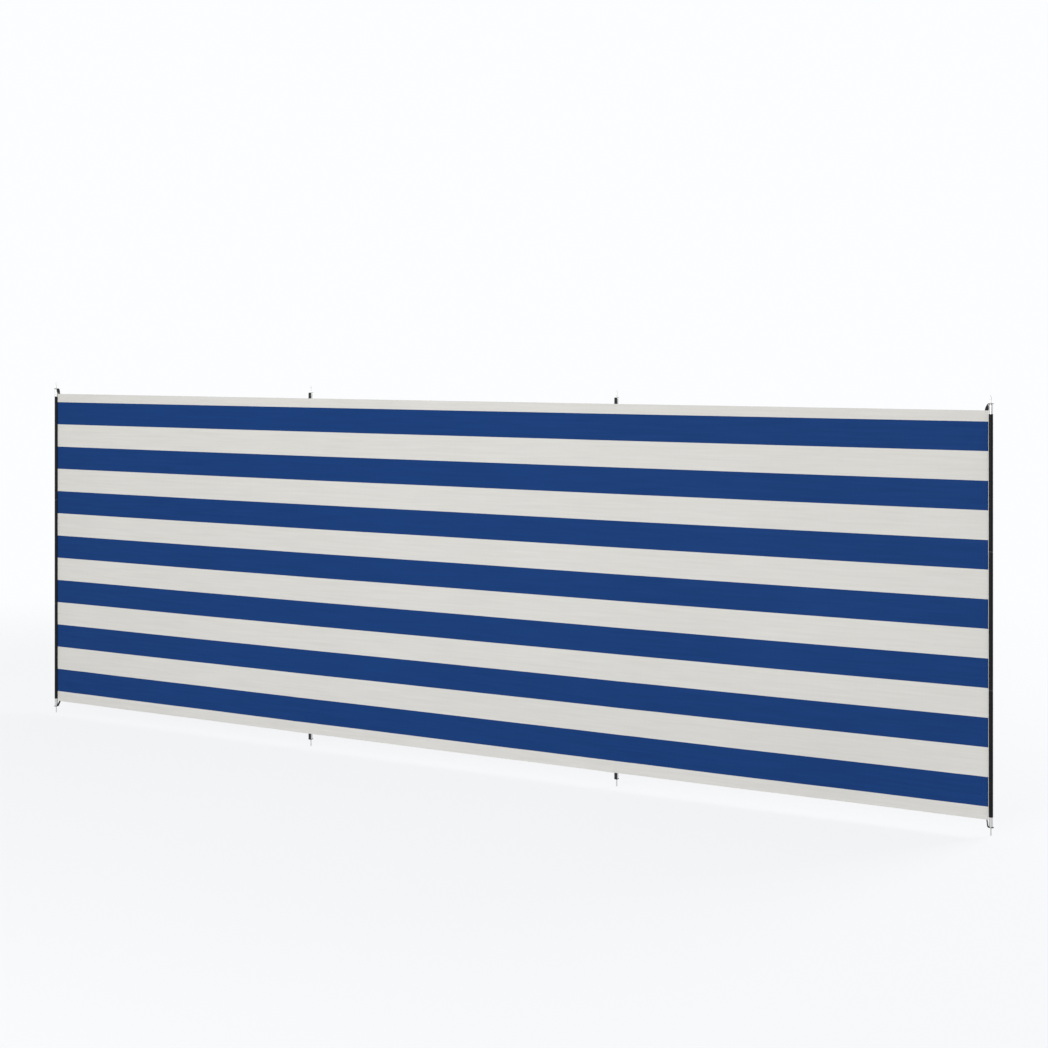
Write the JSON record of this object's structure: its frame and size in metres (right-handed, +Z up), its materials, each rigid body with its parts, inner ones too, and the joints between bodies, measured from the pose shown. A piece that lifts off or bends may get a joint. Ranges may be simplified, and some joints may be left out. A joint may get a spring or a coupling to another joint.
{
  "type": "beach windbreak",
  "caption": "Striped cloth windbreak in bays, hung by webbing tabs with eyelets on push-fit steel poles with spiked ends.",
  "frame": {"origin": "on the first pole's axis, at the flat lower end of its tube", "axes": "+X along the wall from the first pole to the last, +Z up the poles, -Y towards the side where the cloth hangs"},
  "size_m": [4.52, 0.0271, 1.613],
  "materials": {
    "cloth": "satin",
    "tube": "satin",
    "spike": "satin",
    "webbing": "matte",
    "eyelet": "polished"
  },
  "bodies": {
    "root": {"striped_sheet": "cloth", "pole_1_lower_tube": "tube", "pole_1_middle_tube": "tube", "pole_1_upper_tube": "tube", "pole_1_ground_spike": "spike", "pole_1_top_spike": "spike", "top_tab_1": "webbing", "top_eyelet_1": "eyelet", "bottom_tab_1": "webbing", "bottom_eyelet_1": "eyelet", "pole_2_lower_tube": "tube", "pole_2_middle_tube": "tube", "pole_2_upper_tube": "tube", "pole_2_ground_spike": "spike", "pole_2_top_spike": "spike", "top_tab_2": "webbing", "top_eyelet_2": "eyelet", "bottom_tab_2": "webbing", "bottom_eyelet_2": "eyelet", "pole_3_lower_tube": "tube", "pole_3_middle_tube": "tube", "pole_3_upper_tube": "tube", "pole_3_ground_spike": "spike", "pole_3_top_spike": "spike", "top_tab_3": "webbing", "top_eyelet_3": "eyelet", "bottom_tab_3": "webbing", "bottom_eyelet_3": "eyelet", "pole_4_lower_tube": "tube", "pole_4_middle_tube": "tube", "pole_4_upper_tube": "tube", "pole_4_ground_spike": "spike", "pole_4_top_spike": "spike", "top_tab_4": "webbing", "top_eyelet_4": "eyelet", "bottom_tab_4": "webbing", "bottom_eyelet_4": "eyelet"}
  },
  "joints": []
}
